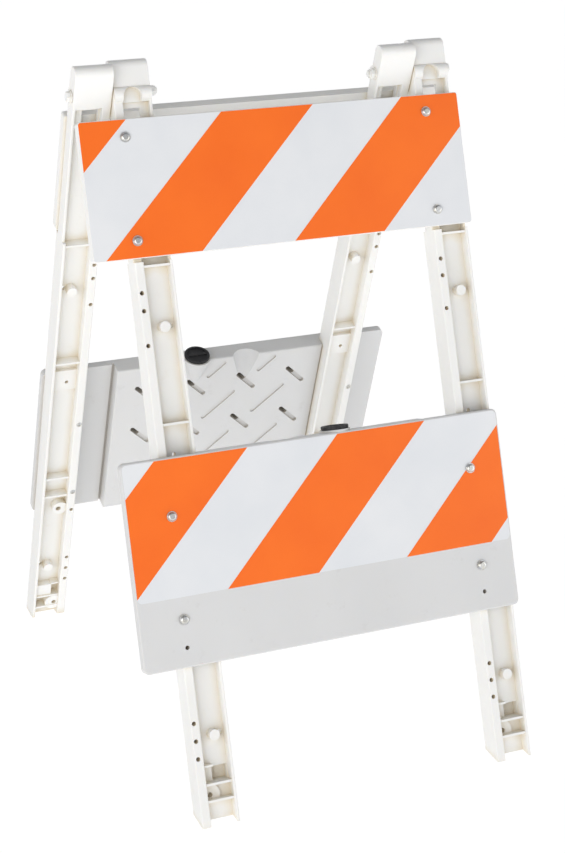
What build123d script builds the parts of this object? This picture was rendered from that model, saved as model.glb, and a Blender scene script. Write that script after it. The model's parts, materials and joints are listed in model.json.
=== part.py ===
from build123d import *
import math
import os

os.makedirs("parts", exist_ok=True)

# Folding plastic barricade: two identical frames of two legs, a top panel and a ballast
# panel, hinged together at the heads of the legs. The rear frame is the front frame
# turned half a turn about the vertical axis.
#
# A frame is drawn in its own axes with the hinge axis along X through the origin:
# X runs across the frame, -Z down the legs, -Y outwards to the striped side.

# ---- stance ------------------------------------------------------------------
HINGE_HEIGHT = 1008.0
HALF_ANGLE = 19.6            # each frame's lean from upright when the barricade stands
SIDE_PLANE = 242.0           # the heads of a hinge meet on the planes x = +-SIDE_PLANE
HEAD_GAP = 0.3               # each head stands this far off that plane

# ---- legs --------------------------------------------------------------------
LEG_W = 58.4
LEG_DEPTH = 40.0
HEAD_DEPTH = 26.0
LEG_LENGTH = 1110.0          # before the foot is cut level with the floor
HEAD_TOP = 48.0              # head above the hinge axis
HEAD_BOTTOM = 16.0           # solid head ends this far below the axis
UPPER_END = 250.0            # shallow upper part of the leg ends here
THICK_FLANGE = 14.0
THIN_FLANGE = 4.5
WEB = 4.5
HOLE_LINE = -23.5            # line of holes in the thick flange, from the leg's centre
SPARE_HOLE_D = 6.6
SPARE_HOLES = (295, 321, 372, 811, 924, 950, 976)
CROSS_RIBS = (257, 489, 1041)
RIB_T = 3.5
EYE_D, EYE_X = 8.0, 19.5     # hole beside each round boss

# ---- panels ------------------------------------------------------------------
PANEL_W = 609.6
TOP_PANEL_H = 203.2
TOP_PANEL_TOP = 41.5         # below the hinge axis
TOP_PANEL_FACE = 28.5        # from the leg's mid-plane to the panel's striped face
BALLAST_H = 304.8
BALLAST_TOP = 535.0
BALLAST_FACE = 33.5
BULGE_HALF = 182.8           # half width of the thick middle of the ballast panel
BULGE_INNER = 0.5            # its inner face, from the leg's mid-plane
WALL = 3.0
CORNER_R = 9.0
LATTICE = 90.0               # spacing of the moulded lozenge pattern
LATTICE_U, LATTICE_V = -4.0, 547.0
LONG_WIDE, LONG_DEEP = 8.0, 2.6
SEAM_W, SEAM_DEEP = 4.0, 4.0   # groove in the wing beside the bulge

# ---- filler ------------------------------------------------------------------
CAP_U, CAP_W = 43.0, 9.0
NECK_R, NECK_H, BORE_R = 23.5, 3.0, 17.5
CAP_R, CAP_H, PLUG_H = 21.0, 4.5, 9.0
GASKET_T, CAP_GAP = 1.2, 0.05
FAIRING = 46.0

# ---- sheeting ----------------------------------------------------------------
FILM_T = 0.3
INK_T = 0.15
# width of one slanted stripe, and where an orange one starts along the panel's top edge
TOP_STRIPE, TOP_FIRST = 147.0, 220.0
LOW_STRIPE, LOW_FIRST = 144.6, 51.5
TOP_FILM_INSET, LOW_FILM_INSET = 1.0, 2.6
LOW_FILM_H = 200.0

# ---- fasteners ---------------------------------------------------------------
BOLT_D, BOLT_HEAD_D, BOLT_HEAD_H = 4.8, 13.0, 3.6
WASHER_D, WASHER_T = 15.5, 1.2
BARREL_D, BARREL_L = 8.8, 9.0
TOP_BOLTS = (68.0, 219.0)
LOW_BOLTS = (620.0, 770.0)
PIN_D, PIN_BORE_D = 9.5, 9.6
HINGE_WASHER_D, HINGE_WASHER_T = 19.0, 1.6
STOP_R, STOP_ANGLE, LUG_D, LUG_L = 17.0, 30.0, 4.6, 4.0
SLOT_W, SLOT_DEPTH, STOP_SLACK = 5.2, 5.0, 1.0
FOLDED_HALF_ANGLE = 0.5

LEG_LEFT = -(SIDE_PLANE - HEAD_GAP) + LEG_W / 2
LEG_RIGHT = SIDE_PLANE + HEAD_GAP + LEG_W / 2
LEG_CENTRES = {"left": LEG_LEFT, "right": LEG_RIGHT}
BOLT_LINES = [c + HOLE_LINE for c in (LEG_LEFT, LEG_RIGHT)]


# ---- helpers -----------------------------------------------------------------
def block(x0, x1, w0, w1, v0, v1):
    """Box from x0 to x1, w0 to w1 outwards and v0 to v1 down the leg."""
    return Pos((x0 + x1) / 2, -(w0 + w1) / 2, -(v0 + v1) / 2) * Box(x1 - x0, w1 - w0, v1 - v0)


def rod_x(radius, x0, x1, w=0.0, v=0.0):
    return Pos((x0 + x1) / 2, -w, -v) * Rot(0, 90, 0) * Cylinder(radius, x1 - x0)


def rod_w(radius, x, v, w0, w1):
    return Pos(x, -(w0 + w1) / 2, -v) * Rot(90, 0, 0) * Cylinder(radius, w1 - w0)


def rod_v(radius, x, w, v0, v1):
    return Pos(x, -w, -(v0 + v1) / 2) * Cylinder(radius, v1 - v0)


def slanted_slot(x, v, length, width, angle, w0, w1):
    """Round-ended slot in the panel's plane, turned by angle seen from outside."""
    slot = extrude(Plane.XZ * Rot(0, 0, angle) * SlotOverall(length, width), amount=(w1 - w0) / 2, both=True)
    return Pos(x, -(w0 + w1) / 2, -v) * slot


def place(frame, shape):
    """Stand a frame's piece up in the assembly."""
    spin = 0 if frame == "front" else 180
    return Rot(0, 0, spin) * Pos(0, 0, HINGE_HEIGHT) * Rot(-HALF_ANGLE, 0, 0) * shape


def save(name, *solids):
    found = [s for shape in solids for s in shape.solids()]
    part = found[0] if len(found) == 1 else Compound(children=found)
    part.label = name
    export_step(part, f"parts/{name}.step")


# ---- legs --------------------------------------------------------------------
def leg_section(depth):
    half = LEG_W / 2
    with BuildSketch() as sk:
        with Locations((-half + THICK_FLANGE / 2, 0)):
            RectangleRounded(THICK_FLANGE, depth, 2.2)
        with Locations((half - THIN_FLANGE / 2, 0)):
            RectangleRounded(THIN_FLANGE, depth, 1.6)
        with Locations(((THICK_FLANGE - THIN_FLANGE) / 2, 0)):
            Rectangle(LEG_W - THICK_FLANGE - THIN_FLANGE + 2.0, WEB)
    return sk.sketch


def leg_beam():
    upper = extrude(leg_section(HEAD_DEPTH), amount=-(UPPER_END - HEAD_BOTTOM + 2))
    lower = extrude(leg_section(LEG_DEPTH), amount=-(LEG_LENGTH - UPPER_END))
    return Pos(0, 0, -HEAD_BOTTOM + 2) * upper + Pos(0, 0, -UPPER_END) * lower


def leg_head():
    half, deep = LEG_W / 2, HEAD_DEPTH / 2
    head = block(-half, half, -deep, deep, -HEAD_TOP, HEAD_BOTTOM)
    top = [e for e in head.edges().filter_by(Axis.X) if e.center().Z > HEAD_TOP - 0.1]
    head = fillet(top, deep - 0.6)
    uprights = [e for e in head.edges().filter_by(Axis.Z)]
    head = fillet(uprights, 1.6)
    ridge = rod_x(12.0, -half + 0.8, half - 0.8, w=8.0, v=4.0) & block(-half, half, deep - 2, 30, -10, 30)
    return head + ridge


def arch_recess():
    """Shallow arched recess below the ridge of the head, on the striped side."""
    deep = HEAD_DEPTH / 2
    niche = rod_w(14.0, -1.0, 8.0, deep - 6.5, 30) + block(-15, 13, deep - 6.5, 30, 8, 44)
    window = block(-13.5, 12.0, -30, 30, 24, 60)
    return niche + window


def stop_slot():
    """Curved slot that the neighbouring head's lug runs in."""
    slack = math.degrees(0.3 / STOP_R)
    first = 2 * FOLDED_HALF_ANGLE - STOP_ANGLE - STOP_SLACK
    last = 2 * HALF_ANGLE - STOP_ANGLE + slack
    arc = CenterArc((0, 0), STOP_R, 90 + first, last - first)
    slot = extrude(Plane.YZ * SlotArc(arc, SLOT_W), amount=SLOT_DEPTH + 1)
    return Pos(-LEG_W / 2 - 1, 0, 0) * slot


def stop_lug():
    a = math.radians(STOP_ANGLE)
    x = -LEG_W / 2
    return rod_x(LUG_D / 2, x - LUG_L, x + 2, w=STOP_R * math.sin(a), v=-STOP_R * math.cos(a))


def cross_rib(v, reach):
    x0, x1 = -LEG_W / 2 + THICK_FLANGE - 1, LEG_W / 2 - THIN_FLANGE + 1
    return block(x0, x1, -reach, reach, v - RIB_T / 2, v + RIB_T / 2)


def round_boss(v, x=7.0, d=16.0, reach=16.0):
    return rod_w(d / 2, x, v, -reach, reach)


def foot_details():
    """Boss, ribs and the closed pocket near the foot."""
    ribs = cross_rib(1017, 16.5)
    ribs += block(-15, -1, -14, 14, 989, 992)
    ribs += block(-2, 26, -14, 0, 991, 1017)
    boss = rod_w(16.0, -8.0, 1034, -17, 6) & block(-16, 26, -30, 30, 900, 1200)
    return ribs + boss


def inner_details():
    """Shelf ribs and the round boss on the side that faces the other frame."""
    x0, x1 = -LEG_W / 2 + THICK_FLANGE - 1, LEG_W / 2 - THIN_FLANGE + 1
    shelf = block(x0, x1, -17, 0, 736, 740) + block(x0, x1, -17, 0, 776, 780)
    shelf += block(x0, x1, -9, 0, 510, 550)
    return shelf + rod_w(13.0, -5.0, 809, -15, 0)


def leg():
    body = leg_beam() + leg_head()
    for v in CROSS_RIBS:
        body += cross_rib(v, 18.0 if v > UPPER_END else 11.5)
    body += foot_details() + inner_details()
    for v in (347, 947):
        body += round_boss(v)
    body -= arch_recess()
    for v in (347, 947):
        body -= rod_w(EYE_D / 2, EYE_X, v, -30, 30)
    body -= block(0, 23.5, -11.5, 30, 994, 1015)
    body -= rod_w(4.0, -8.0, 1034, -30, 30) + rod_w(4.5, -2.0, 809, -30, 30) + rod_w(3.0, 1.0, 534, -30, 30)
    for v in SPARE_HOLES:
        body -= rod_w(SPARE_HOLE_D / 2, HOLE_LINE, v, -30, 30)
    for v in TOP_BOLTS + LOW_BOLTS:
        deep = HEAD_DEPTH / 2 if v < UPPER_END else LEG_DEPTH / 2
        body -= rod_w(BOLT_D / 2 + 0.3, HOLE_LINE, v, -30, 30)
        body -= rod_w(BARREL_D / 2 + 0.2, HOLE_LINE, v, -30, -deep + BARREL_L + 1.0)
    body -= rod_x(PIN_BORE_D / 2, -40, 40)
    return body - stop_slot() + stop_lug()


def make_legs():
    shape = leg()
    below = Pos(0, 0, -150) * Box(2000, 2000, 300)
    for frame in ("front", "rear"):
        for side, centre in LEG_CENTRES.items():
            save(f"{frame}_{side}_leg", place(frame, Pos(centre, 0, 0) * shape) - below)


# ---- top panel ---------------------------------------------------------------
def bolt_holes(rows, w0, w1, radius):
    holes = None
    for x in BOLT_LINES:
        for v in rows:
            hole = rod_w(radius, x, v, w0, w1)
            holes = hole if holes is None else holes + hole
    return holes


def board(half, w0, w1, v0, v1, corner):
    plate = block(-half, half, w0, w1, v0, v1)
    return fillet(plate.edges().filter_by(Axis.Y), corner)


def top_panel():
    bottom = TOP_PANEL_TOP + TOP_PANEL_H
    plate = board(PANEL_W / 2, HEAD_DEPTH / 2, TOP_PANEL_FACE, TOP_PANEL_TOP, bottom, 4.0)
    rims = [e for e in plate.edges() if abs(e.center().Y + TOP_PANEL_FACE) < 0.05]
    plate = fillet(rims, 1.2)
    return plate - bolt_holes(TOP_BOLTS, 0, 60, BOLT_D / 2 + 0.3)


# ---- striped sheeting --------------------------------------------------------
def stripe(x, width, v0, v1, w0, w1):
    """One slanted stripe whose left edge meets the film's top edge at x."""
    run = v1 - v0
    pts = [(x, -v0), (x + width, -v0), (x + width - run, -v1), (x - run, -v1)]
    face = make_face(Polyline(*pts, close=True))
    return Pos(0, -w0, 0) * extrude(Plane.XZ * face, amount=w1 - w0)


def film(half, face, v0, v1, corner):
    return board(half, face, face + FILM_T, v0, v1, corner)


def stripes(half, face, v0, v1, corner, width, first):
    """Orange stripes on the film, cut to its outline."""
    w0, w1 = face + FILM_T, face + FILM_T + INK_T
    outline = board(half, w0, w1, v0, v1, corner)
    bands = []
    x = -PANEL_W / 2 + first
    while x > -half - width:
        x -= 2 * width
    while x < half + (v1 - v0):
        for s in (stripe(x, width, v0, v1, w0, w1) & outline).solids():
            if s.volume > 0.5:
                bands.append(s)
        x += 2 * width
    return bands


def make_sheeting(frame, name, outline, pattern, rows):
    """White film and orange stripes of one panel, punched for the bolts."""
    holes = bolt_holes(rows, outline[1] - 5, outline[1] + 5, BOLT_D / 2 + 0.3)
    save(f"{frame}_{name}_white_film", place(frame, film(*outline) - holes))
    bands = [place(frame, s - holes) for s in stripes(*outline, *pattern)]
    save(f"{frame}_{name}_orange_stripes", *bands)


# ---- ballast panel -----------------------------------------------------------
def ballast_outer():
    v0, v1 = BALLAST_TOP, BALLAST_TOP + BALLAST_H
    wings = board(PANEL_W / 2, LEG_DEPTH / 2, BALLAST_FACE, v0, v1, CORNER_R)
    rims = [e for e in wings.edges() if abs(e.center().Y + BALLAST_FACE) < 0.05]
    wings = fillet(rims, 2.5)
    bulge = block(-BULGE_HALF, BULGE_HALF, BULGE_INNER, LEG_DEPTH / 2 + 2, v0, v1)
    rim = [e for e in bulge.edges() if abs(e.center().Y + BULGE_INNER) < 0.05]
    return wings + fillet(rim, 3.0)


def neck_fairing(grow=0.0):
    """Cone under the filler neck that carries it past the inner face."""
    cone = Cone(8.7 + grow, NECK_R + grow, FAIRING)
    return Pos(CAP_U, -CAP_W, -(BALLAST_TOP + FAIRING / 2)) * cone


def nest_for_other_neck():
    """Hollow in the inner face that takes the other panel's neck when folded."""
    cone = Cone(11.5, NECK_R + 3.5, FAIRING + 6)
    hollow = Pos(-CAP_U, CAP_W, -(BALLAST_TOP + FAIRING / 2)) * cone
    return hollow + rod_v(NECK_R + 3.5, -CAP_U, -CAP_W, BALLAST_TOP - 20, BALLAST_TOP - 2)


def lattice_points(shift):
    v1 = BALLAST_TOP + BALLAST_H
    spots = []
    for i in range(-3, 4):
        for j in range(0, 4):
            x = -(LATTICE_U + LATTICE * i) - shift
            v = LATTICE_V + LATTICE * j + shift
            if abs(x) < BULGE_HALF - 30 and v < v1 - 32:
                spots.append((-x, v))
    return spots


def long_grooves(deep, grow=0.0):
    cut = []
    for x, v in lattice_points(0.0):
        near_top = v < BALLAST_TOP + 40
        length = 42.0 if near_top else 76.0
        dx = 12.0 if near_top else 0.0
        width = LONG_WIDE + 2 * grow
        slot = slanted_slot(x + dx, v + dx, length + 2 * grow, width, -45, BULGE_INNER - 5, deep)
        cut.append(slot)
    return cut


def short_grooves(deep, grow=0.0):
    cut = []
    for x, v in lattice_points(LATTICE / 2):
        cut.append(slanted_slot(x, v, 50.0 + 2 * grow, 8.0 + 2 * grow, 45, BULGE_INNER - 5, deep))
    return cut


def pits(deep, grow=0.0):
    cut = []
    for x, v in lattice_points(LATTICE / 2):
        s = 8.5
        cut.append(slanted_slot(x + s, v - s, 19.0 + 2 * grow, 8.0 + 2 * grow, 45, BULGE_INNER - 5, deep))
    return cut


def seam_groove(grow=0.0):
    """Groove in the wing along the open side of the bulge."""
    face = LEG_DEPTH / 2
    return block(BULGE_HALF - grow, BULGE_HALF + SEAM_W + grow, face - 5, face + SEAM_DEEP + grow,
                 BALLAST_TOP - 5, BALLAST_TOP + BALLAST_H + 5)


def ballast_cavity():
    """The water and sand space inside the walls."""
    v0, v1 = BALLAST_TOP + WALL, BALLAST_TOP + BALLAST_H - WALL
    inner = block(-BULGE_HALF + WALL, BULGE_HALF - WALL, BULGE_INNER + WALL, BALLAST_FACE - WALL, v0, v1)
    half = PANEL_W / 2 - WALL - 3
    inner += block(-half, half, LEG_DEPTH / 2 + WALL, BALLAST_FACE - WALL, v0 + 3, v1 - 3)
    for x in BOLT_LINES:
        for v in LOW_BOLTS + (811.0,):
            inner -= rod_w(7.5, x, v, 0, 60)
    inner -= seam_groove(WALL)
    for slot in long_grooves(LONG_DEEP + WALL, WALL) + short_grooves(4.5 + WALL, WALL):
        inner -= slot
    for slot in pits(22.0 + WALL, WALL):
        inner -= slot
    nest = Pos(-CAP_U, CAP_W, -(BALLAST_TOP + FAIRING / 2)) * Cone(11.5 + WALL, NECK_R + 3.5 + WALL, FAIRING + 14)
    return inner - nest


def ballast_panel():
    body = ballast_outer() + neck_fairing()
    body += rod_v(NECK_R, CAP_U, CAP_W, BALLAST_TOP - NECK_H, BALLAST_TOP + 1)
    body -= nest_for_other_neck()
    body -= seam_groove()
    for slot in long_grooves(LONG_DEEP) + short_grooves(4.5) + pits(22.0):
        body -= slot
    body -= ballast_cavity()
    body -= rod_v(BORE_R, CAP_U, CAP_W, BALLAST_TOP - 20, BALLAST_TOP + 12)
    body -= bolt_holes(LOW_BOLTS, 0, 60, BOLT_D / 2 + 0.3) + bolt_holes((811.0,), 0, 60, 3.2)
    pieces = sorted(body.solids(), key=lambda s: s.volume)
    return pieces[-1]


# ---- filler cap --------------------------------------------------------------
def fill_cap():
    top = BALLAST_TOP - NECK_H - CAP_GAP - GASKET_T
    disc = rod_v(CAP_R, CAP_U, CAP_W, top - CAP_H, top)
    rim = [e for e in disc.edges() if abs(e.center().Z + top - CAP_H) < 0.05]
    disc = fillet(rim, 1.0)
    for i in range(20):
        a = math.radians(18 * i)
        flute = rod_v(1.1, CAP_U + (CAP_R + 0.4) * math.cos(a), CAP_W + (CAP_R + 0.4) * math.sin(a),
                      top - CAP_H - 1, top + 1)
        disc -= flute
    dish = rod_v(CAP_R - 4.5, CAP_U, CAP_W, top - CAP_H - 1, top - CAP_H + 1.6)
    bar = block(CAP_U - 15.5, CAP_U + 15.5, CAP_W - 2.5, CAP_W + 2.5, top - CAP_H, top - 1)
    plug = rod_v(BORE_R - 0.3, CAP_U, CAP_W, top - 0.5, top + PLUG_H)
    plug -= rod_v(BORE_R - 3.0, CAP_U, CAP_W, top + 1.5, top + PLUG_H + 1)
    return disc - dish + bar + plug


def cap_gasket():
    v1 = BALLAST_TOP - NECK_H - CAP_GAP
    ring = rod_v(CAP_R - 0.6, CAP_U, CAP_W, v1 - GASKET_T, v1)
    return ring - rod_v(BORE_R + 0.1, CAP_U, CAP_W, v1 - 5, v1 + 5)


# ---- panel fasteners ---------------------------------------------------------
def panel_bolt(x, v, face, inner):
    seat = face + FILM_T + INK_T + WASHER_T
    dome = rod_w(BOLT_HEAD_D / 2, x, v, seat, seat + BOLT_HEAD_H)
    rim = [e for e in dome.edges() if e.center().Y < -(seat + BOLT_HEAD_H - 0.1)]
    dome = fillet(rim, 3.0)
    return dome + rod_w(BOLT_D / 2, x, v, inner + 2.0, seat + 0.5)


def panel_washer(x, v, face):
    seat = face + FILM_T + INK_T
    ring = rod_w(WASHER_D / 2, x, v, seat, seat + WASHER_T)
    return ring - rod_w(BOLT_D / 2 + 0.2, x, v, seat - 1, seat + WASHER_T + 1)


def barrel_nut(x, v, inner):
    barrel = rod_w(BARREL_D / 2, x, v, inner + 0.8, inner + 0.8 + BARREL_L)
    barrel -= block(x - 0.7, x + 0.7, inner, inner + 2.2, v - 6, v + 6)
    return barrel - rod_w(BOLT_D / 2, x, v, inner + 1.5, 60)


def make_fasteners(frame, name, rows, face, inner):
    spots = [(x, v) for x in BOLT_LINES for v in rows]
    save(f"{frame}_{name}_bolts", *[place(frame, panel_bolt(x, v, face, inner)) for x, v in spots])
    save(f"{frame}_{name}_washers", *[place(frame, panel_washer(x, v, face)) for x, v in spots])
    save(f"{frame}_{name}_barrel_nuts", *[place(frame, barrel_nut(x, v, inner)) for x, v in spots])


# ---- hinge pins --------------------------------------------------------------
def hexagon(across, x0, x1):
    sides = extrude(Plane.YZ * RegularPolygon(across / math.sqrt(3), 6), amount=x1 - x0)
    body = Pos(x0, 0, 0) * sides
    return body & rod_x(across / math.sqrt(3) - 0.35, x0 - 1, x1 + 1)


def hinge_washer(x0):
    ring = rod_x(HINGE_WASHER_D / 2, x0, x0 + HINGE_WASHER_T)
    return ring - rod_x(PIN_D / 2 + 0.15, x0 - 1, x0 + HINGE_WASHER_T + 1)


def make_hinge(side):
    """Pin, nut and washers of one hinge; the left hinge is drawn and turned round."""
    outer = -(SIDE_PLANE + HEAD_GAP + LEG_W) - 0.3
    inner = -(SIDE_PLANE - HEAD_GAP - LEG_W)
    x_head = outer - HINGE_WASHER_T
    head = hexagon(14.3, x_head - 5.6, x_head)
    pin = head + rod_x(PIN_D / 2, x_head - 1, inner + HINGE_WASHER_T + 10.5)
    x_nut = inner + HINGE_WASHER_T
    collar = rod_x(6.6, x_nut + 6.0, x_nut + 8.6)
    nut = hexagon(14.3, x_nut, x_nut + 6.5) + collar - rod_x(PIN_D / 2, x_nut - 1, x_nut + 30)
    spin = 0 if side == "left" else 180
    turn = Rot(0, 0, spin) * Pos(0, 0, HINGE_HEIGHT)
    save(f"{side}_hinge_pin", turn * pin)
    save(f"{side}_hinge_nut", turn * nut)
    save(f"{side}_hinge_head_washer", turn * hinge_washer(x_head))
    save(f"{side}_hinge_nut_washer", turn * hinge_washer(inner))


# ---- the assembly ------------------------------------------------------------
def make_panels(frame):
    half = PANEL_W / 2
    save(f"{frame}_top_panel", place(frame, top_panel()))
    save(f"{frame}_ballast_panel", place(frame, ballast_panel()))
    save(f"{frame}_fill_cap", place(frame, fill_cap()))
    save(f"{frame}_cap_gasket", place(frame, cap_gasket()))
    inset = TOP_FILM_INSET
    top_film = (half - inset, TOP_PANEL_FACE, TOP_PANEL_TOP + inset, TOP_PANEL_TOP + TOP_PANEL_H - inset, 3.5)
    make_sheeting(frame, "top", top_film, (TOP_STRIPE, TOP_FIRST), TOP_BOLTS)
    inset = LOW_FILM_INSET
    low_film = (half - inset, BALLAST_FACE, BALLAST_TOP + inset, BALLAST_TOP + inset + LOW_FILM_H, 7.0)
    make_sheeting(frame, "lower", low_film, (LOW_STRIPE, LOW_FIRST), (LOW_BOLTS[0],))
    make_fasteners(frame, "top", TOP_BOLTS, TOP_PANEL_FACE, -HEAD_DEPTH / 2)
    make_fasteners(frame, "lower", LOW_BOLTS, BALLAST_FACE, -LEG_DEPTH / 2)


make_legs()
for frame_name in ("front", "rear"):
    make_panels(frame_name)
for hinge_side in ("left", "right"):
    make_hinge(hinge_side)
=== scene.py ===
import json
import math

import bpy
from mathutils import Matrix, Vector


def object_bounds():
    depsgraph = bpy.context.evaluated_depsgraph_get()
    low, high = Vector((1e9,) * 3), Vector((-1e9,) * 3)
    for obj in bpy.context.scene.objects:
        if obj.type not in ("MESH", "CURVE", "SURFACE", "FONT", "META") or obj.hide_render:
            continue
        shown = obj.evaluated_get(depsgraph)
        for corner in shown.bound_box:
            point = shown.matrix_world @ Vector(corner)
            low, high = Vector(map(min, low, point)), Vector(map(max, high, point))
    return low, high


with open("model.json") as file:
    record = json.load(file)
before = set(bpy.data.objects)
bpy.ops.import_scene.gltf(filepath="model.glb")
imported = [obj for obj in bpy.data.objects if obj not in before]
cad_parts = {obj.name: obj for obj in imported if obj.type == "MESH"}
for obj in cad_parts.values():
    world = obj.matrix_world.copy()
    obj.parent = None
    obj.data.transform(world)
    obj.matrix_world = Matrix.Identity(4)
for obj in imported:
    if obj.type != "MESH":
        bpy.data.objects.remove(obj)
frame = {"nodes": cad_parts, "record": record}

CAD_LOW, CAD_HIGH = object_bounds()

# ---- camera ------------------------------------------------------------------------
AZIMUTH, ELEVATION, ROLL = -22.466, 18.315, 0.496     # degrees
DISTANCE = 2.9727
TARGET = Vector((0.0331, 0.0, 0.6606))
FRAME_H = 853.0              # picture height that FOCAL_PX is measured against
FOCAL_PX = 1895.3
SENSOR = 36.0
SHIFT_Y = -0.15

# ---- light --------------------------------------------------------------------------
HORIZON_LIGHT, OVERHEAD_LIGHT = 0.80, 0.20
SKY_TURN = 0.9               # how far up the sky reaches its overhead strength
SKY_TINT = (0.97, 0.98, 1.0, 1.0)
BACKDROP = (1.0, 1.0, 1.0, 1.0)
LIGHT_AIM = (0.0, 0.0, 0.5)

# ---- floor --------------------------------------------------------------------------
FLOOR_SIZE = 400.0
FLOOR_GLOW = 0.93            # own light, which keeps the floor white away from the lamps

# ---- colours (linear) -----------------------------------------------------------------
# The cream and shade colours paired with each plastic below are painted shade, blended into
# hollows and inner corners in place of shadow.
WARM_WHITE, HOLLOW_SHADE_CREAM = (0.885, 0.88, 0.86), (0.70, 0.60, 0.42)
LEG_GRIME = (0.80, 0.77, 0.70)
PANEL_GREY, PANEL_SHADE = (0.70, 0.70, 0.70), (0.48, 0.44, 0.38)
PANEL_GRIME = (0.56, 0.55, 0.53)
NYLON, NYLON_GRIME = (0.88, 0.88, 0.86), (0.78, 0.76, 0.70)
FILM_WHITE, FILM_WHITE_DEEP = (0.80, 0.81, 0.83), (0.74, 0.76, 0.79)
FILM_ORANGE, FILM_ORANGE_DEEP = (0.98, 0.175, 0.010), (0.93, 0.150, 0.008)
BLACK, BLACK_WORN = (0.012, 0.012, 0.014), (0.035, 0.035, 0.036)
RUBBER, RUBBER_WORN = (0.018, 0.018, 0.018), (0.05, 0.05, 0.05)
ZINC_COOL, ZINC_YELLOW = (0.62, 0.64, 0.67), (0.70, 0.68, 0.62)
FLOOR_DARK, FLOOR_LIGHT = (0.115, 0.115, 0.115), (0.125, 0.125, 0.125)

# ---- surface texture --------------------------------------------------------------------
LEG_REACH, PANEL_REACH, NYLON_REACH = 0.018, 0.022, 0.006   # how far a wall's painted shade reaches into a hollow
FLOW_FADE = 0.965            # streaks in the moulding are this much darker
CELL_SCALE, CELL_FADE = 420.0, 0.8
CELL_STRETCH = (1.0, 0.25, 1.0)


def make_camera():
    a, e = math.radians(AZIMUTH), math.radians(ELEVATION)
    back = Vector((math.sin(a) * math.cos(e), -math.cos(a) * math.cos(e), math.sin(e)))
    data = bpy.data.cameras.new("camera")
    data.sensor_width = SENSOR
    data.lens = FOCAL_PX * SENSOR / FRAME_H
    data.shift_y = SHIFT_Y
    cam = bpy.data.objects.new("camera", data)
    bpy.context.scene.collection.objects.link(cam)
    turn = (-back).to_track_quat("-Z", "Y").to_matrix().to_4x4()
    roll = Matrix.Rotation(math.radians(ROLL), 4, "Z")
    cam.matrix_world = Matrix.Translation(TARGET + back * DISTANCE) @ turn @ roll
    bpy.context.scene.camera = cam


# ---- node helpers ------------------------------------------------------------------
class Graph:
    """A material's node tree, with short calls for the nodes used here."""

    def __init__(self, name):
        self.material = bpy.data.materials.new(name)
        self.material.use_nodes = True
        self.nodes = self.material.node_tree.nodes
        self.links = self.material.node_tree.links
        self.shader = self.nodes["Principled BSDF"]
        self.coords = self.nodes.new("ShaderNodeTexCoord").outputs["Object"]

    def join(self, output, socket):
        self.links.new(output, socket)

    def noise(self, scale, detail=4.0, rough=0.55, stretch=None):
        node = self.nodes.new("ShaderNodeTexNoise")
        node.inputs["Scale"].default_value = scale
        node.inputs["Detail"].default_value = detail
        node.inputs["Roughness"].default_value = rough
        self.join(self.stretched(stretch) if stretch else self.coords, node.inputs["Vector"])
        return node.outputs["Fac"]

    def stretched(self, scale):
        node = self.nodes.new("ShaderNodeMapping")
        node.inputs["Scale"].default_value = scale
        self.join(self.coords, node.inputs["Vector"])
        return node.outputs["Vector"]

    def cells(self, scale, vector):
        """Distance to the nearest edge of a honeycomb of cells."""
        node = self.nodes.new("ShaderNodeTexVoronoi")
        node.feature = "DISTANCE_TO_EDGE"
        node.inputs["Scale"].default_value = scale
        self.join(vector, node.inputs["Vector"])
        return node.outputs["Distance"]

    def spread(self, value, low, high, to_low=0.0, to_high=1.0):
        node = self.nodes.new("ShaderNodeMapRange")
        ends = {"From Min": low, "From Max": high, "To Min": to_low, "To Max": to_high}
        for name, number in ends.items():
            node.inputs[name].default_value = number
        self.join(value, node.inputs["Value"])
        return node.outputs["Result"]

    def blend(self, fac, first, second):
        """Mix of two colours, each a tuple or an output."""
        node = self.nodes.new("ShaderNodeMix")
        node.data_type = "RGBA"
        colours = [s for s in node.inputs if s.type == "RGBA"]
        for socket, colour in zip(colours, (first, second)):
            if isinstance(colour, tuple):
                socket.default_value = (*colour, 1.0)
            else:
                self.join(colour, socket)
        self.join(fac, node.inputs["Factor"])
        return [s for s in node.outputs if s.type == "RGBA"][0]

    def hollows(self, distance, samples=8):
        """1 in the open, towards 0 in recesses and inner corners."""
        node = self.nodes.new("ShaderNodeAmbientOcclusion")
        node.samples = samples
        node.inputs["Distance"].default_value = distance
        return node.outputs["AO"]

    def bump(self, height, strength, distance, below=None):
        node = self.nodes.new("ShaderNodeBump")
        node.inputs["Strength"].default_value = strength
        node.inputs["Distance"].default_value = distance
        self.join(height, node.inputs["Height"])
        if below is not None:
            self.join(below, node.inputs["Normal"])
        return node.outputs["Normal"]

    def finish(self, colour, rough, normal=None):
        self.join(colour, self.shader.inputs["Base Color"])
        if isinstance(rough, float):
            self.shader.inputs["Roughness"].default_value = rough
        else:
            self.join(rough, self.shader.inputs["Roughness"])
        if normal is not None:
            self.join(normal, self.shader.inputs["Normal"])
        return self.material


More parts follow.
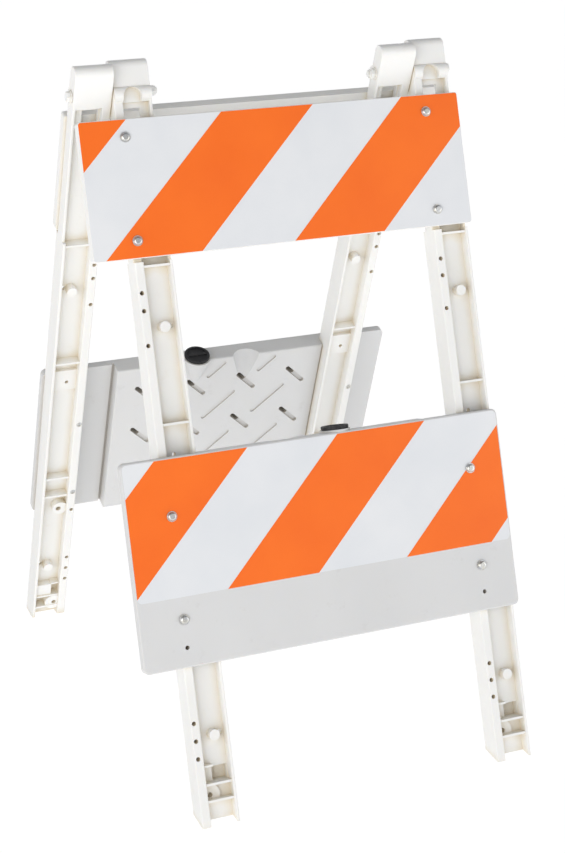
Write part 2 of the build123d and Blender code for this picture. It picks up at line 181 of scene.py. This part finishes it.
# ---- materials ---------------------------------------------------------------------
def moulded_plastic(name, fresh, hollow_shade, grime, hollow_reach):
    """Moulded polyethylene with flow streaks and scuffs, and painted shade: a cream tint
    blended into the hollows by occlusion.
    """
    g = Graph(name)
    flow = g.spread(g.noise(9.0, 3.0, 0.5, (1.0, 1.0, 0.35)), 0.35, 0.7)
    colour = g.blend(flow, fresh, tuple(c * FLOW_FADE for c in fresh))
    # painted shade: occlusion blends the colour towards the cream shade colour in recesses
    # and inner corners
    shade = g.spread(g.hollows(hollow_reach), 0.15, 0.85, 0.8, 0.0)
    colour = g.blend(shade, colour, hollow_shade)
    scuffs = g.spread(g.noise(38.0, 6.0, 0.7), 0.6, 0.74, 0.0, 0.35)
    colour = g.blend(scuffs, colour, grime)
    rough = g.spread(g.noise(60.0, 5.0), 0.3, 0.7, 0.38, 0.56)
    grain = g.bump(g.noise(900.0, 2.0), 0.12, 0.0004)
    wave = g.bump(g.noise(14.0, 2.0), 0.25, 0.0012, grain)
    g.shader.inputs["Subsurface Weight"].default_value = 0.12
    g.shader.inputs["Subsurface Radius"].default_value = (0.006, 0.005, 0.0035)
    g.shader.inputs["Subsurface Scale"].default_value = 1.0
    g.shader.inputs["Specular IOR Level"].default_value = 0.42
    return g.finish(colour, rough, wave)


def sheeting(name, ink, deep):
    """Reflective film: fine cells under a clear gloss face, with faint creases."""
    g = Graph(name)
    cell_lines = g.spread(g.cells(CELL_SCALE, g.stretched(CELL_STRETCH)), 0.0, 0.12)
    mottle = g.spread(g.noise(9.0, 3.0, 0.5), 0.3, 0.72)
    colour = g.blend(mottle, ink, deep)
    edges = g.spread(cell_lines, 0.0, 1.0, 0.05, 0.0)
    colour = g.blend(edges, colour, tuple(c * CELL_FADE for c in deep))
    rough = g.spread(g.noise(30.0, 3.0), 0.3, 0.7, 0.34, 0.46)
    pattern = g.bump(cell_lines, 0.08, 0.0002)
    crease = g.bump(g.noise(5.0, 1.5, 0.4, (1.6, 1.0, 0.45)), 0.22, 0.0014, pattern)
    g.shader.inputs["Specular IOR Level"].default_value = 0.34
    g.shader.inputs["Coat Weight"].default_value = 0.06
    g.shader.inputs["Coat Roughness"].default_value = 0.25
    return g.finish(colour, rough, crease)


def dark_part(name, base, worn, rough_low, rough_high):
    """Black moulding or rubber with a fine grain and paler scuffs."""
    g = Graph(name)
    scuffs = g.spread(g.noise(90.0, 6.0, 0.7), 0.52, 0.72)
    colour = g.blend(scuffs, base, worn)
    rough = g.spread(g.noise(140.0, 4.0), 0.3, 0.7, rough_low, rough_high)
    return g.finish(colour, rough, g.bump(g.noise(1400.0, 2.0), 0.25, 0.0003))


def zinc_plate(name):
    """Bright zinc on steel: cool grey with faint yellow passivation and fine scratches."""
    g = Graph(name)
    tint = g.spread(g.noise(120.0, 4.0), 0.35, 0.65)
    colour = g.blend(tint, ZINC_COOL, ZINC_YELLOW)
    rough = g.spread(g.noise(300.0, 5.0, 0.7), 0.3, 0.7, 0.22, 0.38)
    g.shader.inputs["Metallic"].default_value = 1.0
    scratches = g.noise(700.0, 3.0, 0.6, (1.0, 1.0, 6.0))
    return g.finish(colour, rough, g.bump(scratches, 0.2, 0.0002))


def floor_paint():
    """Pale floor that glows white and still takes a faint shadow."""
    g = Graph("studio_floor")
    colour = g.blend(g.noise(2.0, 2.0), FLOOR_DARK, FLOOR_LIGHT)
    g.shader.inputs["Emission Color"].default_value = (1.0, 1.0, 1.0, 1.0)
    g.shader.inputs["Emission Strength"].default_value = FLOOR_GLOW
    return g.finish(colour, 0.75)


def make_materials():
    """One material for each slot named in the frame's record."""
    makers = {
        "white_plastic": (moulded_plastic, WARM_WHITE, HOLLOW_SHADE_CREAM, LEG_GRIME, LEG_REACH),
        "grey_plastic": (moulded_plastic, PANEL_GREY, PANEL_SHADE, PANEL_GRIME, PANEL_REACH),
        "white_film": (sheeting, FILM_WHITE, FILM_WHITE_DEEP),
        "orange_film": (sheeting, FILM_ORANGE, FILM_ORANGE_DEEP),
        "black_plastic": (dark_part, BLACK, BLACK_WORN, 0.45, 0.65),
        "gasket_rubber": (dark_part, RUBBER, RUBBER_WORN, 0.7, 0.9),
        "white_nylon": (moulded_plastic, NYLON, HOLLOW_SHADE_CREAM, NYLON_GRIME, NYLON_REACH),
        "zinc": (zinc_plate,),
    }
    return {slot: make(slot, *look) for slot, (make, *look) in makers.items()}


def paint_nodes(materials):
    slots = {s["node"]: s["material_slot"] for s in frame["record"]["subparts"]}
    for node, obj in frame["nodes"].items():
        if not obj.material_slots:
            obj.data.materials.append(None)
        for place in obj.material_slots:
            place.material = materials[slots[node]]


# ---- stage ---------------------------------------------------------------------------
def make_floor():
    bpy.ops.mesh.primitive_plane_add(size=FLOOR_SIZE, location=(0.0, 0.0, CAD_LOW.z))
    floor = bpy.context.object
    floor.name = "studio_floor"
    floor.data.materials.append(floor_paint())


def area_light(name, place, size, power, colour=(1.0, 1.0, 1.0)):
    data = bpy.data.lights.new(name, "AREA")
    data.shape = "RECTANGLE"
    data.size, data.size_y = size
    data.energy = power
    data.color = colour
    lamp = bpy.data.objects.new(name, data)
    bpy.context.scene.collection.objects.link(lamp)
    lamp.location = place
    lamp.rotation_mode = "QUATERNION"
    lamp.rotation_quaternion = (Vector(LIGHT_AIM) - Vector(place)).to_track_quat("-Z", "Y")


def make_lights():
    area_light("key", (-2.6, -2.8, 1.3), (2.4, 2.2), 56.0, (1.0, 0.985, 0.96))
    area_light("fill", (2.6, -2.2, 1.0), (2.0, 2.0), 20.0, (0.97, 0.985, 1.0))
    area_light("back", (0.6, 3.4, 2.0), (3.0, 2.4), 15.0)


def make_world():
    """Soft light that is brighter near the horizon than overhead, and a white backdrop."""
    world = bpy.data.worlds.new("studio")
    world.use_nodes = True
    nodes, links = world.node_tree.nodes, world.node_tree.links
    sky = nodes["Background"]
    sky.inputs["Color"].default_value = SKY_TINT
    coords = nodes.new("ShaderNodeTexCoord")
    split = nodes.new("ShaderNodeSeparateXYZ")
    height = nodes.new("ShaderNodeMapRange")
    height.inputs["From Min"].default_value = 0.0
    height.inputs["From Max"].default_value = SKY_TURN
    height.inputs["To Min"].default_value = HORIZON_LIGHT
    height.inputs["To Max"].default_value = OVERHEAD_LIGHT
    links.new(coords.outputs["Generated"], split.inputs["Vector"])
    links.new(split.outputs["Z"], height.inputs["Value"])
    links.new(height.outputs["Result"], sky.inputs["Strength"])
    backdrop = nodes.new("ShaderNodeBackground")
    backdrop.inputs["Color"].default_value = BACKDROP
    seen = nodes.new("ShaderNodeLightPath")
    mix = nodes.new("ShaderNodeMixShader")
    links.new(seen.outputs["Is Camera Ray"], mix.inputs["Fac"])
    links.new(sky.outputs["Background"], mix.inputs[1])
    links.new(backdrop.outputs["Background"], mix.inputs[2])
    links.new(mix.outputs["Shader"], nodes["World Output"].inputs["Surface"])
    bpy.context.scene.world = world


make_camera()
bpy.context.scene.view_settings.view_transform = "Standard"
make_lights()
make_world()
make_floor()
paint_nodes(make_materials())
